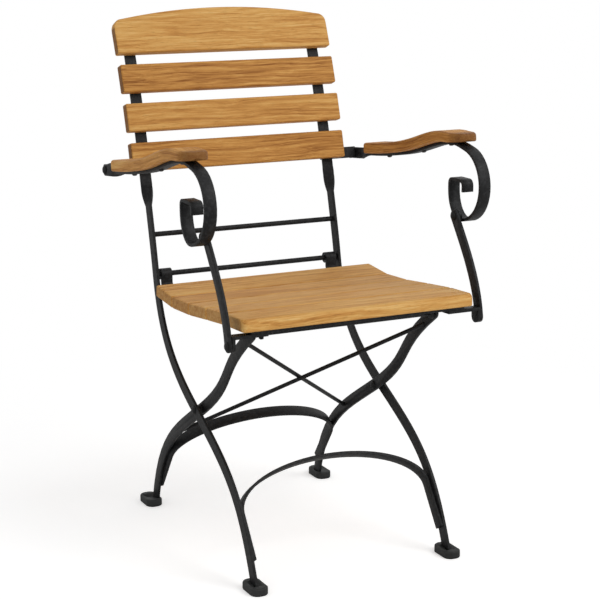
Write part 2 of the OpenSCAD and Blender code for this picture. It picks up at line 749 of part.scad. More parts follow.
module armrest(side) {
    middle = arm_x + armrest_out;
    last = len(armrest_line) - 1;
    tip_y = armrest_line[last][0];
    top = [
        for (i = [0:last])
            let (thin = armrest_thin * pow(max(0, i - thin_from) / (last - thin_from), 2))
                armrest_line[i] - (bar_t / 2 + armrest_t - thin) * corner_normal(armrest_line, i)
    ];
    color(oak) mirror([side < 0 ? 1 : 0, 0, 0]) difference() {
        intersection() {
            upright_plate(middle, armrest_w)
                polygon(concat(shifted(armrest_line, -bar_t / 2), reversed(top)));
            translate([middle, 0, 0]) linear_extrude(beyond) union() {
                translate([-armrest_w / 2, tip_y + armrest_w / 2])
                    square([armrest_w, armrest_start[0] - tip_y]);
                translate([0, tip_y + armrest_w / 2]) circle(d = armrest_w);
            }
        }
        for (i = arm_screws_at) at_arm(i) translate([arm_x, 0, -over])
            cylinder(d = screw_d, h = screw_depth + over);
    }
}

module arm_screws(side) {
    color(steel) mirror([side < 0 ? 1 : 0, 0, 0])
        for (i = arm_screws_at) at_arm(i) screw(arm_x);
}

// Stud through the scroll's lug and the link, headed on the inner side
module link_rivet(side) {
    color(iron) mirror([side < 0 ? 1 : 0, 0, 0]) {
        along_x(link_pivot, rivet_d, link_x - bar_t / 2 - pivot_gap, lug_x + link_lug / 2);
        translate([link_x - bar_t / 2 - pivot_gap, link_pivot[0], link_pivot[1]]) rotate([0, -90, 0])
            head(rivet_head, rivet_head_h);
    }
}

module arm_link(side) {
    color(iron) mirror([side < 0 ? 1 : 0, 0, 0]) difference() {
        upright_plate(link_x, bar_t) polygon(round_ribbon(link_path, bar_w, true, true));
        rivet_bore(link_pivot, link_x, bar_t);
        rivet_bore(ear_pivot, link_x, bar_t);
    }
}

module ear_rivet(side) {
    color(iron) mirror([side < 0 ? 1 : 0, 0, 0]) {
        along_x(ear_pivot, rivet_d, link_x - bar_t / 2, link_x + bar_t / 2);
        translate([link_x + bar_t / 2, ear_pivot[0], ear_pivot[1]]) rotate([0, 90, 0])
            head(rivet_head, rivet_head_h);
    }
}

for (s = sides) {
    long_bar(s[1]);
    foot(long_path, s[1] * long_x, 0, 0);
    crossing_rivet(s[1]);
    arm_bracket(s[1]);
    arm_rivet(s[1]);
    short_bar(s[1]);
    foot(short_path, s[1] * short_x, s[1] * rear_foot_out, rear_foot_back);
    seat_rail(s[1]);
    latch_hook(s[1]);
    seat_ear(s[1]);
    arm_bar(s[1]);
    armrest(s[1]);
    arm_screws(s[1]);
    link_rivet(s[1]);
    arm_link(s[1]);
    ear_rivet(s[1]);
}
for (i = [0:back_count - 1]) {
    back_slat(i);
    back_screws(i);
}
for (i = [0:seat_count - 1]) {
    seat_slat(i);
    seat_screws(i);
}
cross_rod(upper_rod);  // upper_cross_rod
cross_rod(seat_pivot);  // lower_cross_rod
front_stretcher();
short_top_rod();
rear_stretcher();
brace_rod(1);  // brace_rod_a
brace_rod(-1);  // brace_rod_b
seat_crossbar();
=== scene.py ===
# %% [markdown]
# A folding garden armchair, dressed in Blender
#
# The chair is two crossed frames of flat steel bar with wooden slats screwed on, and arms on scrolled bars.
# Its solids come packed as a fixed frame, in metres: X is the width, -Y the front and Z up.
# Each step makes one kind of piece around that frame, so that the chair can still fold.

# %% Load the frame
import bpy
import bmesh
import json
from math import atan2, cos, pi, radians, sin, sqrt, tan
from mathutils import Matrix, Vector

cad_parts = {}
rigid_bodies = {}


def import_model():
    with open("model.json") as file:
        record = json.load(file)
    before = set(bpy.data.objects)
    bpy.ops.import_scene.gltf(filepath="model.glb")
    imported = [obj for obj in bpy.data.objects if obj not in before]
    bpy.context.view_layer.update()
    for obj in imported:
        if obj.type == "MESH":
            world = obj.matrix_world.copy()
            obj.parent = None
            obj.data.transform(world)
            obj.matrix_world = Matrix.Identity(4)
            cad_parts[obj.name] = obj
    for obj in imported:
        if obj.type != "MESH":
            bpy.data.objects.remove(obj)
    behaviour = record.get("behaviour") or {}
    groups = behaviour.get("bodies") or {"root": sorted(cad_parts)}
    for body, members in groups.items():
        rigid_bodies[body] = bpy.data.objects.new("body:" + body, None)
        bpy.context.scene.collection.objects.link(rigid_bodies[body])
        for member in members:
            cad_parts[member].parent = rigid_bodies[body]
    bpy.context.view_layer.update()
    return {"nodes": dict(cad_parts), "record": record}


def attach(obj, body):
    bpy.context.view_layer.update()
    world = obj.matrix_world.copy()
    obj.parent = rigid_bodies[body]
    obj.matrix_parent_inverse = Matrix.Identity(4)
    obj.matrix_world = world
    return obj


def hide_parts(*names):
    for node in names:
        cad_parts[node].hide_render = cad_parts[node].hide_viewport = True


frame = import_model()
scene = bpy.context.scene
MM = 0.001

# %% [markdown]
# Camera
#
# The photograph was taken from the front, a little from the left and above, with a long lens.
# A long lens keeps the verticals nearly parallel, so the distance and the lens matter as much as the angle.
# The camera stands on a sphere round a target point, which makes its place easy to state.

# %% The photograph's view
VIEW_TARGET = Vector((16.67, -22.0, 407.3)) * MM
VIEW_AZIMUTH, VIEW_ELEVATION = radians(-26.58), radians(12.96)
VIEW_DISTANCE = 2875.7 * MM
SENSOR, LENS = 36.0, 101.22
away = Vector((
    sin(VIEW_AZIMUTH) * cos(VIEW_ELEVATION),
    -cos(VIEW_AZIMUTH) * cos(VIEW_ELEVATION),
    sin(VIEW_ELEVATION),
))
camera_data = bpy.data.cameras.new("camera")
camera_data.sensor_width, camera_data.lens = SENSOR, LENS
camera = bpy.data.objects.new("camera", camera_data)
camera.location = VIEW_TARGET + away * VIEW_DISTANCE
camera.rotation_euler = (-away).to_track_quat("-Z", "Y").to_euler()
scene.collection.objects.link(camera)
scene.camera = camera
print("camera at", [round(x, 3) for x in camera.location])

# %% [markdown]
# Materials
#
# Every finish is a small tree of shader nodes. One helper adds a node, sets its values and links its inputs,
# so a material reads from top to bottom like a recipe. Colours are written as sRGB hex, as a paint card gives
# them, and one function turns them into the linear values that the shader needs.

# %% Helpers for the finishes
def linear(hex_colour):
    """An sRGB hex colour as linear red, green, blue and alpha."""
    parts = [int(hex_colour[i:i + 2], 16) / 255 for i in (1, 3, 5)]
    return [c / 12.92 if c <= 0.04045 else ((c + 0.055) / 1.055) ** 2.4 for c in parts] + [1.0]


def add_node(tree, kind, values=None, links=None, **settings):
    """Adds a node: settings are its properties, values its plain inputs, links what feeds its other inputs.

    A link is a socket, or a node that stands for its first output.
    """
    made = tree.nodes.new(kind)
    for name, value in settings.items():
        setattr(made, name, value)
    for key, value in (values or {}).items():
        made.inputs[key].default_value = value
    for key, source in (links or {}).items():
        tree.links.new(getattr(source, "outputs", (source,))[0], made.inputs[key])
    return made


def maths(tree, operation, *terms):
    """A math node on its terms in order, each a plain number or what a link takes."""
    numbers = {i: term for i, term in enumerate(terms) if isinstance(term, float)}
    sources = {i: term for i, term in enumerate(terms) if i not in numbers}
    return add_node(tree, "ShaderNodeMath", numbers, sources, operation=operation)


def new_finish(name):
    """An empty material, its tree and the socket that its shader goes to."""
    made = bpy.data.materials.new(name)
    made.use_nodes = True
    made.node_tree.nodes.clear()
    return made, made.node_tree, made.node_tree.nodes.new("ShaderNodeOutputMaterial").inputs[0]


def set_ramp(node, stops):
    """Puts colour stops, as (place, hex), into a colour ramp."""
    ramp = node.color_ramp
    while len(ramp.elements) < len(stops):
        ramp.elements.new(0.5)
    for element, (place, colour) in zip(ramp.elements, stops):
        element.position, element.color = place, linear(colour)


# %% [markdown]
# Oiled hardwood
#
# The slats and armrests are sawn from a golden-brown hardwood and oiled. Three things show: broad bands of
# lighter and darker wood, fine dark pores that run along the board, and a darker end grain, made darker still
# as painted shade on the end faces.
# Each board carries a "grain" attribute, its own place in millimetres along and across the fibres, so the
# pattern follows the board however it is tilted, and no two boards look alike.

# %% The hardwood
def streaks(tree, place, along, across, detail, **settings):
    """Noise drawn out along the board, with its scale per millimetre along and across the fibres."""
    drawn_out = add_node(tree, "ShaderNodeMapping", {"Scale": (along, across, across)}, {"Vector": place})
    return add_node(tree, "ShaderNodeTexNoise", {"Scale": 1.0, "Detail": detail, **settings},
                    {"Vector": drawn_out})


def make_wood():
    """Golden-brown hardwood, oiled and not varnished, so that it shines little and its pores stay open."""
    finish, tree, surface = new_finish("oiled_hardwood")
    grain = add_node(tree, "ShaderNodeAttribute", attribute_name="grain").outputs["Vector"]
    tone, ends = [add_node(tree, "ShaderNodeAttribute", attribute_name=label).outputs["Fac"]
                  for label in ("tone", "end_grain")]
    # growth bands: 4 to 8 mm across, drawn out forty times along the board and slightly wavy
    drift = streaks(tree, grain, 0.006, 0.02, 2.0).outputs["Color"]
    bent = add_node(tree, "ShaderNodeVectorMath", {1: (0, 16, 16)}, {0: drift}, operation="MULTIPLY")
    place = add_node(tree, "ShaderNodeVectorMath", {}, {0: grain, 1: bent}, operation="ADD")
    bands = streaks(tree, place, 0.0042, 0.17, 4.0, Roughness=0.62)
    # fibres: 1 to 2 mm across and 60 mm long
    fibres = streaks(tree, place, 0.016, 0.75, 5.0, Roughness=0.65)
    # pores: short dark dashes, drawn at half a millimetre, coarser than real ones so that they show
    pores = streaks(tree, place, 0.07, 1.9, 2.0)
    pore_dark = add_node(tree, "ShaderNodeMapRange", {"From Min": 0.60, "From Max": 0.74}, {"Value": pores})
    mixed = maths(tree, "MULTIPLY", bands, 0.55)
    mixed = maths(tree, "MULTIPLY_ADD", fibres, 0.45, mixed)
    toned = maths(tree, "ADD", mixed, tone)
    ramp = add_node(tree, "ShaderNodeValToRGB", {}, {"Fac": toned})
    set_ramp(ramp, [(0.34, "#85501F"), (0.43, "#B07839"), (0.51, "#C88F49"), (0.60, "#D9A75F"),
                    (0.71, "#E3BC79")])
    pore_share = maths(tree, "MULTIPLY", pore_dark, 0.55)
    pored = add_node(tree, "ShaderNodeMix", {7: linear("#6F411C")}, {0: pore_share, 6: ramp},
                     data_type="RGBA")
    # darker ends: end grain, strengthened as painted shade on the end faces, and the darkened armrest tips
    end_share = maths(tree, "MULTIPLY", ends, 0.8)
    ended = add_node(tree, "ShaderNodeMix", {7: linear("#6B4320")}, {0: end_share, 6: pored.outputs[2]},
                     data_type="RGBA")
    rough = add_node(tree, "ShaderNodeMapRange",
                     {"From Min": 0.3, "From Max": 0.7, "To Min": 0.62, "To Max": 0.48}, {"Value": fibres})
    relief = maths(tree, "MULTIPLY_ADD", pore_dark, -0.7, fibres)
    bump = add_node(tree, "ShaderNodeBump", {"Strength": 0.35, "Distance": 0.0006}, {"Height": relief})
    shader = add_node(tree, "ShaderNodeBsdfPrincipled", {"IOR": 1.48, "Specular IOR Level": 0.16},
                      {"Base Color": ended.outputs[2], "Roughness": rough, "Normal": bump})
    tree.links.new(shader.outputs[0], surface)
    return finish


oiled_hardwood = make_wood()
print("hardwood nodes", len(oiled_hardwood.node_tree.nodes))

# %% [markdown]
# Coated steel
#
# The bars are steel under a satin black powder coat. Powder melts into a fine "orange peel", so its
# highlights break up softly. Along the corners the coat is painted a lighter grey in patches, a painted
# highlight where the rounded corners catch the light. Those corners are marked by an "edge" attribute that
# each bar gets when its corners are rounded.
# The screws are blackened steel, greyer than the coat and a little shinier. The feet are moulded
# polyethylene, dull and dark grey, with the grain of their mould. Both follow the coat's recipe.

# %% The black coat, the screws and the feet
def make_coat(name, dark, light, highlight_grey, roughness, sheen, grit_mm, peel):
    """A dark finish of two tones and a third, lighter one painted on the corners as a highlight, with its
    gloss and its texture.
    """
    finish, tree, surface = new_finish(name)
    spot = add_node(tree, "ShaderNodeTexCoord").outputs["Object"]
    # a cloudy change of tone over some 40 mm, patches of 6 mm for the painted highlight on the corners, and
    # the texture at its grit size
    cloud, highlight_patches, grit = [
        add_node(tree, "ShaderNodeTexNoise", {"Scale": 1 / (size * MM), "Detail": detail}, {"Vector": spot})
        for size, detail in ((40, 3.0), (6, 4.0), (grit_mm, 2.0))]
    ramp = add_node(tree, "ShaderNodeValToRGB", {}, {"Fac": cloud})
    set_ramp(ramp, [(0.35, dark), (0.68, light)])
    edge = add_node(tree, "ShaderNodeAttribute", attribute_name="edge").outputs["Fac"]
    patchy = add_node(tree, "ShaderNodeMapRange", {"From Min": 0.46, "From Max": 0.66, "To Max": 0.55},
                      {"Value": highlight_patches})
    # painted highlight: a lighter grey on the marked corners, in patches
    painted_highlight = maths(tree, "MULTIPLY", edge, patchy)
    colour = add_node(tree, "ShaderNodeMix", {7: linear(highlight_grey)}, {0: painted_highlight, 6: ramp}, data_type="RGBA")
    smooth, dull = roughness - 0.06, roughness + 0.08
    rough = add_node(tree, "ShaderNodeMapRange",
                     {"From Min": 0.3, "From Max": 0.7, "To Min": smooth, "To Max": dull}, {"Value": grit})
    bump = add_node(tree, "ShaderNodeBump", {"Strength": peel, "Distance": 0.0004}, {"Height": grit})
    shader = add_node(tree, "ShaderNodeBsdfPrincipled", {"IOR": 1.5, "Specular IOR Level": sheen},
                      {"Base Color": colour.outputs[2], "Roughness": rough, "Normal": bump})
    tree.links.new(shader.outputs[0], surface)
    return finish


# the third colour of each finish is the painted highlight on its corners
black_coat = make_coat("black_powder_coat", "#0E0E0F", "#151516", "#2E2F30", 0.5, 0.2, 1.6, 0.3)
blackened_screw = make_coat("blackened_screw_steel", "#1C1C1D", "#2A2A2B", "#5A5A58", 0.4, 0.4, 0.8, 0.2)
moulded_foot = make_coat("moulded_polyethylene", "#1D1E1E", "#292A2A", "#3C3D3C", 0.62, 0.3, 0.9, 0.4)
print("finishes", [m.name for m in (oiled_hardwood, black_coat, blackened_screw, moulded_foot)])

# %% [markdown]
# Bars, rods and brackets
#
# The steel is flat bar, 20 by 5 mm, bent, drilled and riveted. Rolled bar never has knife edges, and a coat
# rounds them further, so each corner catches a thin line of light. The imported solids have the right form
# but sharp corners and loose triangles. A copy of each is merged, its flat triangles are dissolved into
# whole faces, and a bevel rounds what is left. The rounded corners are then marked for the painted highlight.
# The scrolled arm bars are rounded in the same way. Only the two long bars are made anew, in the next step.

# %% Rounding a copy of a solid
def link_mesh(name, mesh, finish):
    """A new piece with this mesh and finish."""
    mesh.materials.clear()
    mesh.materials.append(finish)
    piece = bpy.data.objects.new(name, mesh)
    scene.collection.objects.link(piece)
    return piece


def baked_mesh(piece):
    """The piece's mesh with its modifiers applied, in place of the old one."""
    evaluated = piece.evaluated_get(bpy.context.evaluated_depsgraph_get())
    mesh = bpy.data.meshes.new_from_object(evaluated)
    piece.modifiers.clear()
    piece.data = mesh
    return mesh


def store(mesh, label, values):
    """Keeps a number or a vector for each point of the mesh, as an attribute."""
    if hasattr(values[0], "__len__"):
        kind, field, values = "FLOAT_VECTOR", "vector", [x for v in values for x in v]
    else:
        kind, field = "FLOAT", "value"
    mesh.attributes.new(label, kind, "POINT").data.foreach_set(field, values)


def mark_edges(mesh, sharp=radians(14)):
    """Writes an 'edge' attribute: 1 where faces turn at a point, 0 on flat stretches."""
    form = bmesh.new()
    form.from_mesh(mesh)
    values = []
    for v in form.verts:
        turn = max([e.calc_face_angle(0.0) for e in v.link_edges], default=0.0)
        values.append(min(1.0, turn / sharp))
    form.free()
    store(mesh, "edge", values)


def shade_smooth(piece, angle=40):
    """Smooth shading, apart from edges that turn by more than the angle."""
    mesh = piece.data
    mesh.polygons.foreach_set("use_smooth", [True] * len(mesh.polygons))
    form = bmesh.new()
    form.from_mesh(mesh)
    for e in form.edges:
        e.smooth = e.calc_face_angle(0.0) < radians(angle)
    form.to_mesh(mesh)
    form.free()


BAR_ROUND, SAME_POINT = 0.7 * MM, 0.004 * MM
FLAT_BELOW, ROUND_ABOVE = radians(0.3), radians(32)


def rounded_bar(node):
    """A merged copy of a node's mesh with rounded corners, as a new coated piece."""
    mesh = frame["nodes"][node].data.copy()
    form = bmesh.new()
    form.from_mesh(mesh)
    bmesh.ops.remove_doubles(form, verts=form.verts, dist=SAME_POINT)
    bmesh.ops.dissolve_limit(form, angle_limit=FLAT_BELOW, verts=form.verts, edges=form.edges)
    form.to_mesh(mesh)
    form.free()
    piece = link_mesh("iron_" + node, mesh, black_coat)
    bevel = piece.modifiers.new("round", "BEVEL")
    bevel.width, bevel.segments, bevel.limit_method = BAR_ROUND, 2, "ANGLE"
    bevel.angle_limit = ROUND_ABOVE
    mark_edges(baked_mesh(piece))
    shade_smooth(piece)
    return piece


# %% Dress the bars, rods and brackets
BODY_OF = {node: body for body, nodes in frame["record"]["behaviour"]["bodies"].items() for node in nodes}
SLOT_OF = {part["node"]: part["material_slot"] for part in frame["record"]["subparts"]}


def fixed_on(piece, body, slot, *nodes):
    """The piece moves with its body and stands for its solids; the slot is not used."""
    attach(piece, body)
    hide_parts(*nodes)


made = 0
for node, slot in SLOT_OF.items():
    if slot == "iron" and "rivet" not in node and not node.endswith("long_bar"):
        fixed_on(rounded_bar(node), BODY_OF[node], "iron", node)
        made += 1
print("rounded bars", made)

# %% [markdown]
# The long bars
#
# Each long bar stands on edge from the foot to above the seat, then twists by a quarter turn and carries the
# back slats flat. It is one bar that follows a path, which is what the Curve to Mesh node makes: a small
# profile swept along a line. Each point of the line stores the direction in which the bar is broad, so a
# quarter turn is only that direction turning by 90 degrees.

# %% Smooth stretches of a path, in millimetres
BAR_W, BAR_T = 20.0, 5.0


def heading(a):
    """The direction at a degrees above level, seen from the side."""
    return Vector((cos(radians(a)), sin(radians(a))))


def bend(p, a, q, b, pull, count):
    """A smooth stretch from p, leaving at slope a, to q, arriving at slope b."""
    p, q, points = Vector(p), Vector(q), []
    reach = pull * (q - p).length
    for i in range(count + 1):
        t = i / count
        points.append((2 * t**3 - 3 * t**2 + 1) * p + (t**3 - 2 * t**2 + t) * reach * heading(a)
                      + (3 * t**2 - 2 * t**3) * q + (t**3 - t**2) * reach * heading(b))
    return points


def chain(*stretches):
    """Joins stretches of points, without repeating a shared point."""
    points = []
    for stretch in stretches:
        points += [p for p in stretch if not points or (p - points[-1]).length > 0.01]
    return points


CROSSING = Vector((-19.0, 238.0))
SEAT_PIVOT = CROSSING + Vector((167.0, 200.0))
BACK_SLATS, BACK_SLOPE, BACK_BEND, BACK_PITCH = 4, 75.5, 2.5, 68.0
TURN_LENGTH, FIRST_SLAT = 45.0, 39.0
turn_low = SEAT_PIVOT + Vector((28.0, 116.5))
turn_high = turn_low + TURN_LENGTH * heading(BACK_SLOPE)
back_seats = [turn_high + FIRST_SLAT * heading(BACK_SLOPE)]
back_slopes = [BACK_SLOPE - BACK_BEND * i for i in range(BACK_SLATS)]
for a, b in zip(back_slopes, back_slopes[1:]):
    back_seats.append(back_seats[-1] + BACK_PITCH / 2 * (heading(a) + heading(b)))
print("back seats", [[round(x, 1) for x in p] for p in back_seats])

# %% The lines of the two long bars
FRONT_FOOT, BAR_FOOT = 233.0, 3.0
LEG_SLOPE, CROSS_SLOPE, SEAT_SLOPE = 69, 27, 79
LEG_PULL, SEAT_PULL = 1.37, 1.22
TURN_STEPS = 24
KNEE_FAR, KNEE_NEAR, KNEE_EASE = 8, 3, Vector((0.05, 0.0))
BAR_ABOVE = 16.0
long_line = chain(
    bend((CROSSING[0] - FRONT_FOOT, BAR_FOOT), LEG_SLOPE, CROSSING, CROSS_SLOPE, LEG_PULL, 36),
    bend(CROSSING, CROSS_SLOPE, SEAT_PIVOT, SEAT_SLOPE, SEAT_PULL, 30),
    bend(SEAT_PIVOT, SEAT_SLOPE, turn_low, BACK_SLOPE, 1, 10),
)
turn_line = [turn_low + (turn_high - turn_low) * i / TURN_STEPS for i in range(1, TURN_STEPS + 1)]
back_line = []
for spot, slope, next_slope in zip(back_seats, back_slopes, back_slopes[1:]):
    # a knee is drawn as a short bend, because steel bar never folds to a corner
    below, above = heading(slope), heading(next_slope)
    knee = spot + BACK_PITCH / 2 * below
    back_line += [knee - KNEE_FAR * below, knee - KNEE_NEAR * below + KNEE_EASE,
                  knee + KNEE_NEAR * above + KNEE_EASE, knee + KNEE_FAR * above]
back_line.append(back_seats[-1] + BAR_ABOVE * heading(back_slopes[-1]))
long_points = long_line + turn_line + back_line


def broad_ways(points, first_turn, turn_steps):
    """Where the bar is broad at each point: across the path when on edge, along X when flat."""
    ways = []
    for i, p in enumerate(points):
        a, b = points[max(i - 1, 0)], points[min(i + 1, len(points) - 1)]
        t = (b - a).normalized()
        across = Vector((0, -t[1], t[0]))
        share = min(max((i - first_turn) / turn_steps, 0), 1)
        turn = radians(90) * share
        ways.append(across * cos(turn) + Vector((1, 0, 0)) * sin(turn))
    return ways


long_ways = broad_ways(long_points, len(long_line) - 1, TURN_STEPS)
print("long bar points", len(long_points))

# %% [markdown]
# The sweep as a node tree
#
# The tree takes a line of points with a "broad" direction and named inputs for the bar's sizes.
# It turns the line into a curve, sets the curve's normals from that direction, and sweeps a rectangle with
# filleted corners along it. Anyone can change the bar's width in one place, and each bend follows.

# %% A small helper for node trees, and the flat bar's tree
def new_tree(name, inputs):
    """A Geometry Nodes tree with inputs given as (name, socket type, value), its inputs and its end."""
    tree = bpy.data.node_groups.new(name, "GeometryNodeTree")
    tree.interface.new_socket("Geometry", in_out="INPUT", socket_type="NodeSocketGeometry")
    for label, kind, value in inputs:
        socket = tree.interface.new_socket(label, in_out="INPUT", socket_type=kind)
        if value is not None:
            socket.default_value = value
    tree.interface.new_socket("Geometry", in_out="OUTPUT", socket_type="NodeSocketGeometry")
    return tree, tree.nodes.new("NodeGroupInput").outputs, tree.nodes.new("NodeGroupOutput").inputs[0]


def use_tree(piece, tree, **values):
    """Adds the tree to the piece, with its inputs set by their sockets' identifiers."""
    modifier = piece.modifiers.new(tree.name, "NODES")
    modifier.node_group = tree
    named = {s.name: s.identifier for s in tree.interface.items_tree if s.in_out == "INPUT"}
    for label, value in values.items():
        modifier[named[label.replace("_", " ")]] = value


def flat_bar_tree():
    """Sweeps a rectangle with filleted corners along a line of points."""
    tree, given, result = new_tree("flat_bar", [
        ("Width", "NodeSocketFloat", BAR_W * MM), ("Thickness", "NodeSocketFloat", BAR_T * MM),
        ("Corner", "NodeSocketFloat", BAR_ROUND), ("Finish", "NodeSocketMaterial", None),
    ])
    broad = add_node(tree, "GeometryNodeInputNamedAttribute", {"Name": "broad"}, data_type="FLOAT_VECTOR")
    curve = add_node(tree, "GeometryNodeMeshToCurve", {}, {"Mesh": given["Geometry"]})
    aimed = add_node(tree, "GeometryNodeSetCurveNormal", {}, {"Curve": curve, "Normal": broad}, mode="FREE")
    profile = add_node(tree, "GeometryNodeCurvePrimitiveQuadrilateral", {},
                       {"Width": given["Width"], "Height": given["Thickness"]})
    filleted = add_node(tree, "GeometryNodeFilletCurve", {"Count": 3, "Limit Radius": True},
                        {"Curve": profile, "Radius": given["Corner"]}, mode="POLY")
    swept = add_node(tree, "GeometryNodeCurveToMesh", {"Fill Caps": True},
                     {"Curve": aimed, "Profile Curve": filleted})
    real = add_node(tree, "GeometryNodeRealizeInstances", {}, {"Geometry": swept})
    painted = add_node(tree, "GeometryNodeSetMaterial", {}, {"Geometry": real, "Material": given["Finish"]})
    tree.links.new(painted.outputs[0], result)
    return tree


flat_bar = flat_bar_tree()
print("flat bar nodes", len(flat_bar.nodes))


# %% Sweep the two long bars
def points_mesh(name, points, edges=(), **attributes):
    """A mesh of points in metres, given in millimetres, with vectors stored on each."""
    mesh = bpy.data.meshes.new(name)
    mesh.from_pydata([Vector(p) * MM for p in points], edges, [])
    for label, vectors in attributes.items():
        store(mesh, label, vectors)
    return mesh


def weighted_smooth(piece):
    """Smooth shading that leans towards the large faces, so that narrow roundings don't dim them."""
    shade_smooth(piece)
    weighted = piece.modifiers.new("weighted", "WEIGHTED_NORMAL")
    weighted.keep_sharp, weighted.weight = True, 80
    baked_mesh(piece)
    return piece


SIDES = ((-1, "left"), (1, "right"))
LONG_X = 178.0
places, lines, ways = [], [], []
for side, _ in SIDES:
    start = len(places)
    places += [(side * LONG_X, p[0], p[1]) for p in long_points]
    lines += [(start + i, start + i + 1) for i in range(len(long_points) - 1)]
    ways += long_ways
long_bars = link_mesh("iron_long_bars", points_mesh("long_bars", places, lines, broad=ways), black_coat)
use_tree(long_bars, flat_bar, Width=BAR_W * MM, Thickness=BAR_T * MM, Corner=BAR_ROUND, Finish=black_coat)
mark_edges(baked_mesh(long_bars))
weighted_smooth(long_bars)
FOOT_SOLE = 4.0
# the bars end level in their feet, this much above the floor
for v in long_bars.data.vertices:
    v.co.z = max(v.co.z, FOOT_SOLE * MM)
fixed_on(long_bars, "long_frame", "iron", "left_long_bar", "right_long_bar")
top = max(v.co.z for v in long_bars.data.vertices)
print("long bars", len(long_bars.data.polygons), "faces, top", round(top, 4))

# %% [markdown]
# Slats and armrests as boards
#
# A board is a stack of cross sections: rounded rectangles along its length that grow inwards at both ends,
# so that every arris is rounded as a router leaves it. The same stack makes a straight slat, the arched top
# slat, whose upper edge rises to the middle, and the armrest, whose sections follow a bent line.
# While the board is stacked, its "grain" attribute records where each point lies in the wood.

# %% Stack sections into a board
CORNER_STEPS = 4
# a quarter of a circle, in the steps that round a board's end, and how far its end face reaches back
END_TURNS, END_FACE = (0, 22.5, 45, 67.5, 90), 0.5


def skin(form, rings):
    """Joins each ring of points to the next with faces."""
    for a, b in zip(rings, rings[1:]):
        for i in range(len(a)):
            j = (i + 1) % len(a)
            form.faces.new((a[i], a[j], b[j], b[i]))


def closed_mesh(form, name):
    """The closed form as a mesh, with its faces pointing outwards."""
    bmesh.ops.recalc_face_normals(form, faces=form.faces)
    mesh = bpy.data.meshes.new(name)
    form.to_mesh(mesh)
    form.free()
    return mesh


def stack_board(name, stations, low, high, thick, rounds, end_round, end_dark=1.0,
                put=lambda *spot: Vector(spot)):
    """A board of sections at the stations u, from low to high and up to thick, each point placed by put."""
    first, last = stations[0], stations[-1]
    form = bmesh.new()
    rings, grain, ends = [], [], []
    for u in stations:
        near = min(u - first, last - u)
        inset = 0.0
        if near < end_round:
            inset = end_round - sqrt(max(end_round**2 - (end_round - near)**2, 0.0))
        a, b, c, d = low(u) + inset, high(u) - inset, inset, thick(u) - inset
        # each corner stays a little round, and takes less than half of the section
        r = [max(x - inset, 0.3) for x in rounds]
        r = [min(x, (b - a) * 0.49, (d - c) * 0.49) for x in r]
        centres = [(b - r[0], d - r[0]), (a + r[1], d - r[1]), (a + r[2], c + r[2]), (b - r[3], c + r[3])]
        ring = []
        for k, (v, w) in enumerate(centres):
            for i in range(CORNER_STEPS + 1):
                angle = radians(90 * k + 90 * i / CORNER_STEPS)
                spot = (u, v + r[k] * cos(angle), w + r[k] * sin(angle))
                ring.append(form.verts.new(put(*spot) * MM))
                grain.append(spot)
                # the end faces are marked for darkening: end grain, with painted shade added
                ends.append(end_dark if near < END_FACE else 0.0)
        rings.append(ring)
    skin(form, rings)
    form.faces.new(rings[0])
    form.faces.new(list(reversed(rings[-1])))
    mesh = closed_mesh(form, name)
    store(mesh, "grain", grain)
    store(mesh, "end_grain", ends)
    return mesh


def stations_of(length, end_round, middle):
    """Places along a board, close together where its ends are rounded."""
    half = length / 2
    ends = [half - end_round * (1 - sin(radians(a))) for a in END_TURNS]
    inner = [x for x in middle if abs(x) < half - end_round - END_FACE]
    return sorted([-x for x in ends] + inner + ends)


SLAT_LEN, ARRIS = 412.0, 3.0
SEAT_D, SEAT_T, SEAT_NOSE = 69.0, 20.0, 9.0
BACK_H, BACK_T = 49.0, 18.0
BOARD_STEP = 40.0


def straight_board(name, depth, thick, nose, corner=0.0, end_dark=1.0):
    """A straight slat with the rounding nose on its front edge, and front corners rounded in plan."""
    def front(u):
        near = SLAT_LEN / 2 - abs(u)
        return -depth / 2 + (corner - sqrt(corner**2 - (corner - near)**2) if near < corner else 0.0)
    turns = range(0, 60, 12) if corner else ()
    spots = [SLAT_LEN / 2 - corner * (1 - sin(radians(a))) for a in turns]
    middle = [BOARD_STEP * i for i in range(-4, 5)]
    stations = stations_of(SLAT_LEN, ARRIS, sorted([-x for x in spots] + middle + spots))
    mesh = stack_board(name, stations, front, lambda u: depth / 2, lambda u: thick,
                       (ARRIS, nose, ARRIS, ARRIS), ARRIS, end_dark)
    return weighted_smooth(link_mesh(name, mesh, oiled_hardwood))


# the seat boards' ends are darkened less than the others': end grain with painted shade
seat_board = straight_board("pattern_seat_board", SEAT_D, SEAT_T, ARRIS, end_dark=0.4)
nose_board = straight_board("pattern_front_board", SEAT_D, SEAT_T, SEAT_NOSE, corner=10.0, end_dark=0.4)
back_board = straight_board("pattern_back_board", BACK_H, BACK_T, ARRIS)
print("board faces", len(seat_board.data.polygons))

# %% The arched top slat
CREST_H, CREST_SIDE, CREST_DROP, CREST_CORNER = 79.0, 44.0, 17.0, 15.0
ARCH_HALF, ARCH_STEPS = SLAT_LEN / 2 - CREST_CORNER, 14


def crest_top(u):
    """Upper edge of the arched slat: an arch, and a rounded corner at each end."""
    foot = -BACK_H / 2
    shoulder = foot + CREST_H - CREST_DROP
    if abs(u) <= ARCH_HALF:
        return shoulder + CREST_DROP * (1 - (u / ARCH_HALF)**2)
    share = min((abs(u) - ARCH_HALF) / CREST_CORNER, 1.0)
    return foot + CREST_SIDE + (shoulder - foot - CREST_SIDE) * sqrt(1 - share**2)


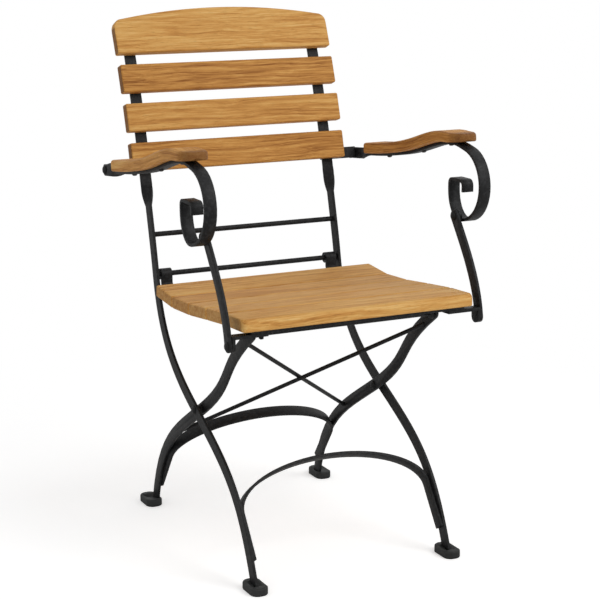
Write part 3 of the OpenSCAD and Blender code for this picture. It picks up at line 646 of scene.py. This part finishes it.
corner_places = [ARCH_HALF + CREST_CORNER * sin(radians(a)) for a in range(0, 75, 8)]
arch_places = [ARCH_HALF * i / ARCH_STEPS for i in range(1 - ARCH_STEPS, ARCH_STEPS)]
corner_places += [-x for x in corner_places]
crest_stations = stations_of(SLAT_LEN, ARRIS, sorted(arch_places + corner_places))
crest_mesh = stack_board("crest", crest_stations, lambda u: -BACK_H / 2, crest_top, lambda u: BACK_T,
                         (ARRIS,) * 4, ARRIS)
crest_board = weighted_smooth(link_mesh("pattern_crest_board", crest_mesh, oiled_hardwood))
print("crest faces", len(crest_board.data.polygons))

# %% [markdown]
# Setting out copies
#
# Slats, screws and rivet heads are each one pattern that is laid at many places. The tree "set_out" puts a
# pattern object on points that store a turn and a size. Each copy draws its own tone and its own shift in
# the wood from a fixed seed, so the boards differ but the chair is the same each time it is made.

# %% The tree that sets out copies
def set_out_tree():
    """Puts a pattern object on each point, with a turn, a size, a tone and a shift in the wood."""
    tree, given, result = new_tree("set_out", [
        ("Pattern", "NodeSocketObject", None), ("Tone Spread", "NodeSocketFloat", 0.0),
        ("Grain Shift", "NodeSocketFloat", 0.0), ("Seed", "NodeSocketInt", 1),
        ("Finish", "NodeSocketMaterial", None),
    ])
    turn, size, own, extra = [
        add_node(tree, "GeometryNodeInputNamedAttribute", {"Name": label}, data_type="FLOAT_VECTOR")
        for label in ("turn", "size", "grain", "shift")]
    spin = add_node(tree, "FunctionNodeEulerToRotation", {}, {0: turn})
    pattern = add_node(tree, "GeometryNodeObjectInfo", {}, {"Object": given["Pattern"]})
    points = add_node(tree, "GeometryNodeMeshToPoints", {}, {"Mesh": given["Geometry"]})
    copies = add_node(tree, "GeometryNodeInstanceOnPoints", {},
                      {"Points": points, "Instance": pattern.outputs["Geometry"],
                       "Rotation": spin, "Scale": size})
    low = maths(tree, "MULTIPLY", given["Tone Spread"], -1.0)
    tone = add_node(tree, "FunctionNodeRandomValue", {},
                    {2: low, 3: given["Tone Spread"], "Seed": given["Seed"]})
    chosen = add_node(tree, "GeometryNodeInputNamedAttribute", {"Name": "board_tone"})
    summed = maths(tree, "ADD", chosen, tone.outputs[1])
    toned = add_node(tree, "GeometryNodeStoreNamedAttribute", {"Name": "tone"},
                     {"Geometry": copies, "Value": summed}, domain="INSTANCE")
    drawn = add_node(tree, "FunctionNodeRandomValue", {0: (-1, -1, -1), 1: (1, 1, 1)},
                     {"Seed": given["Seed"]}, data_type="FLOAT_VECTOR")
    shift = add_node(tree, "ShaderNodeVectorMath", {}, {0: drawn, "Scale": given["Grain Shift"]},
                     operation="SCALE")
    shifted = add_node(tree, "GeometryNodeStoreNamedAttribute", {"Name": "shift"},
                       {"Geometry": toned, "Value": shift}, data_type="FLOAT_VECTOR", domain="INSTANCE")
    real = add_node(tree, "GeometryNodeRealizeInstances", {}, {"Geometry": shifted})
    moved = add_node(tree, "ShaderNodeVectorMath", {}, {0: own, 1: extra}, operation="ADD")
    grained = add_node(tree, "GeometryNodeStoreNamedAttribute", {"Name": "grain"},
                       {"Geometry": real, "Value": moved}, data_type="FLOAT_VECTOR")
    painted = add_node(tree, "GeometryNodeSetMaterial", {},
                       {"Geometry": grained, "Material": given["Finish"]})
    tree.links.new(painted.outputs[0], result)
    return tree


set_out = set_out_tree()
print("set out nodes", len(set_out.nodes))


def lay_out(name, pattern, places, finish, body, slot, nodes, spread=0.0, shift=0.0, seed=1, tones=None):
    """Copies of the pattern at places, each (point, turn about the axes in radians, size), as one piece."""
    points, turns, sizes = zip(*places)
    mesh = points_mesh(name, points, turn=turns, size=sizes)
    store(mesh, "board_tone", tones or [0.0] * len(places))
    piece = link_mesh(name, mesh, finish)
    use_tree(piece, set_out, Pattern=pattern, Tone_Spread=spread, Grain_Shift=shift, Seed=seed, Finish=finish)
    baked_mesh(piece)
    fixed_on(piece, body, slot, *nodes)


# %% Lay the back and seat slats
def left_of(v):
    """The direction square to v, on its left."""
    return Vector((-v[1], v[0])).normalized()


UNIT = (1.0, 1.0, 1.0)
back_places = []
for spot, slope in zip(back_seats, back_slopes):
    p = spot + BAR_T / 2 * left_of(heading(slope))
    back_places.append(((0, p[0], p[1]), (radians(slope), 0, 0), UNIT))
SEAT_TILT = (2.5, 5.5, 6.0, 2.5, -5.0)
SEAT_PITCH = SEAT_D + 3.0
SEAT_AHEAD, SEAT_HEIGHT = 256.0, 450.0
ahead = heading(-SEAT_TILT[0])
seat_edge = Vector((CROSSING[0] - SEAT_AHEAD, SEAT_HEIGHT))
seat_seats = [seat_edge + SEAT_D / 2 * ahead - SEAT_T * left_of(ahead)]
for a, b in zip(SEAT_TILT, SEAT_TILT[1:]):
    seat_seats.append(seat_seats[-1] + SEAT_PITCH / 2 * (heading(-a) + heading(-b)))
seat_places = [((0, p[0], p[1]), (radians(-a), 0, 0), UNIT) for p, a in zip(seat_seats, SEAT_TILT)]

TONE_SPREAD, GRAIN_SHIFT = 0.012, 900.0
# each row: the piece, pattern, places, body, the nodes' name and numbers, the seed and each board's tone
for name, pattern, places, body, node, numbers, seed, tones in (
    ("back_slats", back_board, back_places[:3], "long_frame", "back_slat_", "123", 3, [-0.035, 0.015, -0.04]),
    ("crest_slat", crest_board, back_places[3:], "long_frame", "back_slat_", "4", 11, [0.055]),
    ("front_slat", nose_board, seat_places[:1], "seat", "seat_slat_", "1", 5, [0.07]),
    ("seat_slats", seat_board, seat_places[1:], "seat", "seat_slat_", "2345", 8, [0.065, 0.06, 0.01, 0.05]),
):
    lay_out("wood_" + name, pattern, places, oiled_hardwood, body, "wood", [node + n for n in numbers],
            TONE_SPREAD, GRAIN_SHIFT, seed, tones)

# %% [markdown]
# Armrests
#
# An armrest is sawn from one board to the line of its bar: level behind, a hollow for the forearm and a crest
# at the front. Its front is round when seen from above. The sections follow the bar's line, and the width
# shrinks to a half circle at the tip. The grain runs along the line.

# %% The armrests
ARM_X, ARMREST_X, ARMREST_W, ARMREST_T, ARMREST_THIN = 242.5, 241.0, 50.0, 19.0, 6.0
HINGE_UP, HINGE_BEHIND, WOOD_FROM = 24.0, 15.5, 85.5
SCROLL_R = 60.0
ARM_SLOPE, HOLLOW_SLOPE, CREST_SLOPE, END_SLOPE = 174.5, 165, 180, 191
arm_hinge = turn_high + HINGE_UP * heading(BACK_SLOPE) - HINGE_BEHIND * left_of(heading(BACK_SLOPE))
scroll = arm_hinge - Vector((388.5, 3.0))
arm_start = arm_hinge + WOOD_FROM * heading(ARM_SLOPE)
hollow, crest = scroll + Vector((142.0, SCROLL_R - 22.0)), scroll + Vector((22.0, SCROLL_R + 4.5))
run_end = scroll + SCROLL_R * heading(END_SLOPE - 90)


def arm_run(steps):
    """The bar's line from the start of the wood to where the scroll begins."""
    return chain(bend(arm_start, ARM_SLOPE, hollow, HOLLOW_SLOPE, 1, steps),
                 bend(hollow, HOLLOW_SLOPE, crest, CREST_SLOPE, 1, steps),
                 bend(crest, CREST_SLOPE, run_end, END_SLOPE, 1, steps // 2))


# ahead of the crest the wood goes straight on and the bar peels away below it
RUN_STEPS, TIP_STEPS, TIP_REACH, TIP_RISE = 20, 8, 34.5, tan(radians(6))
run = arm_run(RUN_STEPS)[:2 * RUN_STEPS + 1]
run += [crest + i / TIP_STEPS * TIP_REACH * Vector((-1, TIP_RISE)) for i in range(1, TIP_STEPS + 1)]
lengths = [0.0]
for a, b in zip(run, run[1:]):
    lengths.append(lengths[-1] + (b - a).length)
run_length, tip_y, TIP_FLAT = lengths[-1], run[-1][0], 0.6


def on_run(u):
    """The point of the line at the length u, and its upward direction there."""
    k = max(i for i in range(len(run) - 1) if lengths[i] <= max(u, 0.0) + 1e-9)
    share = (u - lengths[k]) / (lengths[k + 1] - lengths[k])
    ways = [(run[min(i + 1, len(run) - 1)] - run[max(i - 1, 0)]).normalized() for i in (k, k + 1)]
    way = ways[0].lerp(ways[1], min(max(share, 0.0), 1.0))
    return run[k].lerp(run[k + 1], share), -left_of(way)


def half_width(u):
    """Half the armrest's width: a half circle at the tip, with a small flat where the sections end."""
    d = max(on_run(u)[0][0] - tip_y, 0.0) + TIP_FLAT
    r = ARMREST_W / 2
    return r if d >= r else sqrt(r**2 - (r - d)**2)


# halfway up the rise to the crest
THIN_FROM = lengths[3 * RUN_STEPS // 2]


def arm_thickness(u):
    """The armrest's thickness, less towards its tip."""
    return ARMREST_T - ARMREST_THIN * (max(0.0, u - THIN_FROM) / (run_length - THIN_FROM))**2


ARM_ARRIS, UNDER_ARRIS = 5.0, 2.5
# plain sections keep a little clear of those that round the back end and the tip
back_end = [ARM_ARRIS * (1 - cos(radians(a))) for a in END_TURNS]
along = [x for x in lengths if ARM_ARRIS + 2.0 < x < run_length - ARMREST_W / 2 - 1.0]
tip_places = [run_length - ARMREST_W / 2 * (1 - sin(radians(a))) for a in range(4, 88, 7)]
arm_stations = sorted(back_end + along + tip_places + [run_length - 0.05, run_length])


def armrest(side):
    """The mesh of one side's armrest, on its bar."""
    def put(u, v, w):
        p, up = on_run(u)
        q = p + (BAR_T / 2 + w) * up
        return Vector((side * ARMREST_X + v, q[0], q[1]))
    return stack_board("armrest", arm_stations, lambda u: -half_width(u), half_width, arm_thickness,
                       (ARM_ARRIS, ARM_ARRIS, UNDER_ARRIS, UNDER_ARRIS), ARM_ARRIS, put=put)


TIP_DARK, TIP_FADE = 28.0, 20.0
# painted shade: the right armrest's tone is lowered, so that whole armrest is darker than the left
for (side, name), shift, tone in zip(SIDES, (300.0, 1200.0), (0.0, -0.045)):
    mesh = armrest(side)
    for g, e in zip(mesh.attributes["grain"].data, mesh.attributes["end_grain"].data):
        # the wood darkens towards the round front, from nothing 28 mm before the tip to fully 8 mm before it
        e.value = min(max((g.vector[0] - run_length + TIP_DARK) / TIP_FADE, e.value), 1.0)
        g.vector = Vector(g.vector) + Vector((shift, shift, 0))
    store(mesh, "tone", [tone] * len(mesh.vertices))
    piece = weighted_smooth(link_mesh("wood_" + name + "_armrest", mesh, oiled_hardwood))
    fixed_on(piece, name + "_arm", "wood", name + "_armrest")

# %% [markdown]
# Screws and rivets
#
# Pan-head wood screws hold the slats from behind and below, and domed rivets are the pivots of the fold.
# Both heads are turned shapes, so they are made as a profile spun round an axis. The screw's cross recess is
# pressed in by lowering the points of four arms. The patterns are then set out by the same tree as the slats.

# %% Turned patterns
def smooth_piece(form, name, finish, highlight_from):
    """The closed form as a smooth piece, marked for the painted corner highlight where it turns by more than
    so many degrees at a point.
    """
    mesh = closed_mesh(form, name)
    mark_edges(mesh, radians(highlight_from))
    piece = link_mesh(name, mesh, finish)
    shade_smooth(piece, 50)
    return piece


# a screw's recess: the share of its head that the cross reaches over, and the share of its depth in the arms
RECESS_REACH, RECESS_ARMS = 0.56, 0.8


def turned(name, profile, count, finish, recess=0.0):
    """A profile of (radius, height) spun round Z and closed, with an optional cross recess on top."""
    form = bmesh.new()
    turns = [2 * pi * i / count for i in range(count)]
    rings = [[form.verts.new(Vector((radius * cos(a), radius * sin(a), height)) * MM) for a in turns]
             for radius, height in profile]
    skin(form, rings)
    top = form.verts.new(Vector((0, 0, profile[-1][1])) * MM)
    for i in range(count):
        form.faces.new((rings[-1][i], rings[-1][(i + 1) % count], top))
    form.faces.new(list(reversed(rings[0])))
    if recess:
        top.co.z -= recess * MM
        for ring, (radius, _) in zip(rings, profile):
            if radius < RECESS_REACH * profile[-4][0]:
                for v in ring[::count // 4]:
                    v.co.z -= recess * MM * RECESS_ARMS
    return smooth_piece(form, name, finish, 40)


screw_pattern = turned("pattern_screw", [
    (2.25, -17.0), (2.25, 0.0), (4.3, 0.0), (4.5, 0.3), (4.3, 1.3), (3.6, 2.3), (2.4, 2.95), (2.2, 3.0),
    (0.9, 3.15),
], 24, blackened_screw, recess=1.3)
rivet_pattern = turned("pattern_rivet_head", [
    (7.1, 0.0), (7.5, 0.35), (7.3, 1.0), (6.45, 1.925), (5.2, 2.7), (3.75, 3.15), (1.9, 3.42),
], 28, black_coat)
shank_pattern = turned("pattern_shank", [(0.5, 0.0), (0.5, 1.0)], 28, black_coat)
print("screw faces", len(screw_pattern.data.polygons), "rivet faces", len(rivet_pattern.data.polygons))

# %% Set out the screws
RAIL_X = 161.0
DOWN = radians(180)
# an armrest's three screws, in steps of its line
ARM_SCREWS = (2, 8, 14)


def screw_places(places, half):
    """A screw at each side of a slat: its head under the bar, pointing away from the wood."""
    made = []
    for (_, y, z), (a, _, _), _ in places:
        out = -Vector((0, -sin(a), cos(a)))
        for side in (-1, 1):
            made.append((Vector((side * half, y, z)) + BAR_T * out, (a + DOWN, 0, 0), UNIT))
    return made


lay_out("screws_back", screw_pattern, screw_places(back_places, LONG_X), blackened_screw, "long_frame",
        "screw", [f"back_screws_{i}" for i in range(1, 5)])
lay_out("screws_seat", screw_pattern, screw_places(seat_places, RAIL_X), blackened_screw, "seat", "screw",
        [f"seat_screws_{i}" for i in range(1, 6)])
coarse = arm_run(8)
for side, name in SIDES:
    places = []
    for i in ARM_SCREWS:
        way = coarse[i] - coarse[i + 1]
        p = (coarse[i] + coarse[i + 1]) / 2 - BAR_T / 2 * left_of(way)
        places.append(((side * ARM_X, p[0], p[1]), (atan2(way[1], way[0]) + DOWN, 0, 0), UNIT))
    lay_out("screws_" + name + "_arm", screw_pattern, places, blackened_screw, name + "_arm", "screw",
            [name + "_arm_screws"])
print("screws", 2 * len(back_places + seat_places) + 2 * len(places))

# %% Set out the rivets
QUARTER = radians(90)


def pin(p, x1, x2, diameter, side):
    """A shank along X between x1 and x2 on one side of the chair."""
    low, high = sorted((side * x1, side * x2))
    return (Vector((low, p[0], p[1])), (0, QUARTER, 0), (diameter, diameter, high - low))


def cap(p, x, outward, side):
    """A rivet head at x, facing outward or inward."""
    return (Vector((side * x, p[0], p[1])), (0, QUARTER * outward * side, 0), UNIT)


def rivets(name, body, heads, pins, nodes):
    """Heads and shanks of one body's rivets, as two pieces."""
    lay_out("rivet_heads_" + name, rivet_pattern, heads, black_coat, body, "iron", nodes)
    lay_out("rivet_shanks_" + name, shank_pattern, pins, black_coat, body, "iron", nodes)


GAP, SHORT_X, TAB_X, LINK_X = 0.3, 165.0, 237.2, 224.2
RIVET_D, COLLAR_D, LUG_T = 8.0, 15.0, 5.5
LUG_UP, EAR_AHEAD, EAR_DROP = 7.0, 18.0, 11.0
link_pivot = scroll + Vector((0, LUG_UP - SCROLL_R))
ear_pivot = seat_seats[0] - EAR_AHEAD * ahead - (2 * BAR_T + EAR_DROP) * left_of(ahead)
heads, pins, nodes = [], [], []
for side, name in SIDES:
    inner, outer = SHORT_X - BAR_T / 2 - GAP, LONG_X + BAR_T / 2
    heads += [cap(CROSSING, inner, -1, side), cap(CROSSING, outer, 1, side)]
    pins += [pin(CROSSING, inner, outer, RIVET_D, side),
             pin(CROSSING, SHORT_X + BAR_T / 2 + GAP, LONG_X - BAR_T / 2, COLLAR_D, side)]
    inner, outer = TAB_X - BAR_T / 2, ARM_X + BAR_T / 2 + GAP
    heads += [cap(arm_hinge, inner, -1, side), cap(arm_hinge, outer, 1, side)]
    pins.append(pin(arm_hinge, inner, outer, RIVET_D, side))
    nodes += [name + "_crossing_rivet", name + "_arm_rivet"]
    inner, outer = LINK_X - BAR_T / 2 - GAP, LINK_X + BAR_T / 2 + GAP + LUG_T
    rivets(name + "_arm", name + "_arm", [cap(link_pivot, inner, -1, side)],
           [pin(link_pivot, inner, outer, RIVET_D, side)], [name + "_link_rivet"])
    inner, outer = LINK_X - BAR_T / 2, LINK_X + BAR_T / 2
    rivets(name + "_link", name + "_link", [cap(ear_pivot, outer, 1, side)],
           [pin(ear_pivot, inner, outer, RIVET_D, side)], [name + "_ear_rivet"])
rivets("frame", "long_frame", heads, pins, nodes)
print("rivet heads on the frame", len(heads))

# %% [markdown]
# Feet
#
# Each bar stands in a moulded foot: an oval pad with a raised lobe in front of the bar and one behind it.
# Moulded plastic has no sharp corners, so the foot is a stack of outlines that starts at the sole, turns over
# the rim, follows the lobes and the hollow between them, and goes down into the bar's socket.

# %% The moulded feet
FOOT_L, FOOT_W, FOOT_END = 52.0, 30.0, 12.9
FOOT_MID, FOOT_RISE, RIM = 8.0, 13.0, 2.6
LOBE_FROM, LOBE_SPAN, SOCKET_PLAY = 8.5, 5.5, 0.6
REAR_FOOT, REAR_SLOPE, REAR_OUT, REAR_BACK = 222.0, 103, 8.0, 4.0


def outline(width, length, radius, steps=8):
    """A rectangle with round corners, as points."""
    points = []
    for k, (sx, sy) in enumerate(((1, 1), (-1, 1), (-1, -1), (1, -1))):
        for i in range(steps + 1):
            a = radians(90 * k + 90 * i / steps)
            points.append(Vector((sx * (width / 2 - radius) + radius * cos(a),
                                  sy * (length / 2 - radius) + radius * sin(a))))
    return points


def lobed(y):
    """Height of the pad's top at the distance y from its middle: low at the bar, high on the lobes."""
    share = min(max((abs(y) - LOBE_FROM) / LOBE_SPAN, 0.0), 1.0)
    return FOOT_MID + (FOOT_RISE - FOOT_MID) * share * share * (3 - 2 * share)


def foot(name, x, y, slope, out, back):
    """A foot round a bar that starts at x, y and rises at the slope; the pad lies out and back from it."""
    lean = 1 / tan(radians(slope))
    hole = outline(BAR_T + SOCKET_PLAY, BAR_W / sin(radians(slope)) + SOCKET_PLAY, 0.5)
    middle, rise = Vector((out, back)), Vector((0, (FOOT_MID - BAR_FOOT) * lean))
    form = bmesh.new()
    rings = []

    def pad(inset):
        return outline(FOOT_W - 2 * inset, FOOT_L - 2 * inset, FOOT_END - inset)

    def add_ring(points):
        rings.append([form.verts.new(Vector((x + p[0], y + p[1], z)) * MM) for p, z in points])

    for z, inset in ((0.0, 1.0), (0.35, 0.4), (1.0, 0.0), (4.0, 0.0)):
        add_ring([(p + middle, z) for p in pad(inset)])
    for a in (0, 25, 50, 70, 90):
        # the rim turns from upright to level
        inset = RIM * (1 - cos(radians(a)))
        add_ring([(p + middle, lobed(p[1]) - RIM * (1 - sin(radians(a)))) for p in pad(inset)])
    for share in (0.12, 0.25, 0.4, 0.55, 0.7, 0.84, 0.96):
        places = [(p + middle).lerp(q + rise, share) for p, q in zip(pad(RIM), hole)]
        add_ring([(p, lobed(p[1] - back)) for p in places])
    for z, grow in ((FOOT_MID - 0.1, 0.4), (FOOT_MID - 0.7, 0.0), (FOOT_SOLE, 0.0)):
        add_ring([(q + grow * q.normalized() + Vector((0, (z - BAR_FOOT) * lean)), z) for q in hole])
    skin(form, rings)
    form.faces.new(list(reversed(rings[0])))
    form.faces.new(rings[-1])
    return smooth_piece(form, name, moulded_foot, 60)


front_y, rear_y = long_points[0][0], CROSSING[0] + REAR_FOOT
for side, name in SIDES:
    front = foot("foot_front_" + name, side * LONG_X, front_y, LEG_SLOPE, 0.0, 0.0)
    fixed_on(front, "long_frame", "foot", name + "_front_foot")
    rear = foot("foot_rear_" + name, side * SHORT_X, rear_y, REAR_SLOPE, side * REAR_OUT, REAR_BACK)
    fixed_on(rear, "short_frame", "foot", name + "_rear_foot")
print("feet placed at", round(front_y, 1), round(rear_y, 1))

# %% Put the patterns away
patterns = [o for o in bpy.data.objects if o.name.startswith("pattern_")]
print("patterns put away", len(patterns))
for piece in patterns:
    bpy.data.objects.remove(piece)

# %% [markdown]
# Floor, background and light
#
# A catalogue picture has a white surround and a soft light from above. The floor is pale and keeps a faint
# shadow. For camera and reflection rays the surround is plain white, through the Light Path node, while the
# light that falls on the chair comes from a weaker dome and two large lamps.

# %% Stage
def stage_floor(far=30.0):
    """A pale floor that reaches this many metres each way."""
    mesh = bpy.data.meshes.new("floor")
    mesh.from_pydata([(-far, -far, 0), (far, -far, 0), (far, far, 0), (-far, far, 0)], [], [(0, 1, 2, 3)])
    finish, tree, surface = new_finish("studio_floor")
    to_camera = add_node(tree, "ShaderNodeLightPath").outputs["Is Camera Ray"]
    diffuse = add_node(tree, "ShaderNodeBsdfDiffuse", {"Color": linear("#F4F4F4")})
    # a little glow, for the camera alone, keeps the pale floor from turning grey
    lift = maths(tree, "MULTIPLY", to_camera, 0.42)
    glow = add_node(tree, "ShaderNodeEmission", {"Color": (1, 1, 1, 1)}, {"Strength": lift})
    near = add_node(tree, "ShaderNodeAddShader", {}, {0: diffuse, 1: glow})
    # away from the chair the floor melts into the white surround
    spot = add_node(tree, "ShaderNodeTexCoord").outputs["Object"]
    distance = add_node(tree, "ShaderNodeVectorMath", {}, {0: spot}, operation="LENGTH")
    beyond = add_node(tree, "ShaderNodeMapRange", {"From Min": 0.40, "From Max": 1.25},
                      {"Value": distance.outputs["Value"]}, interpolation_type="SMOOTHSTEP")
    share = maths(tree, "MULTIPLY", beyond, to_camera)
    white = add_node(tree, "ShaderNodeEmission", {"Color": (1, 1, 1, 1)})
    floor = add_node(tree, "ShaderNodeMixShader", {}, {0: share, 1: near, 2: white})
    tree.links.new(floor.outputs[0], surface)
    link_mesh("floor", mesh, finish)


stage_floor()
world = bpy.data.worlds.new("studio")
scene.world = world
world.use_nodes = True
sky = world.node_tree
sky.nodes.clear()
rays = add_node(sky, "ShaderNodeLightPath").outputs
seen = rays["Is Camera Ray"]
for label in ("Is Glossy Ray", "Is Transmission Ray"):
    seen = maths(sky, "MAXIMUM", seen, rays[label])
strength = add_node(sky, "ShaderNodeMapRange", {"To Min": 0.55}, {"Value": seen})
dome = add_node(sky, "ShaderNodeBackground", {"Color": (1, 1, 1, 1)}, {"Strength": strength})
add_node(sky, "ShaderNodeOutputWorld", {}, {0: dome})


LAMP_AIM = Vector((0.0, 0.0, 0.45))


def lamp(name, power, size, place):
    """A square lamp of this power in watts and size in metres, aimed at the chair."""
    data = bpy.data.lights.new(name, "AREA")
    data.energy, data.size = power, size
    made = bpy.data.objects.new(name, data)
    made.location = place
    made.rotation_euler = (LAMP_AIM - Vector(place)).to_track_quat("-Z", "Y").to_euler()
    scene.collection.objects.link(made)


lamp("key", 42, 1.8, (1.5, -2.2, 2.6))
lamp("fill", 7, 2.4, (-2.2, -2.0, 1.6))

# %% [markdown]
# Finish
#
# The picture is judged without a film look, so the colours are shown as they are.

# %% Last settings
scene.view_settings.view_transform = "Standard"
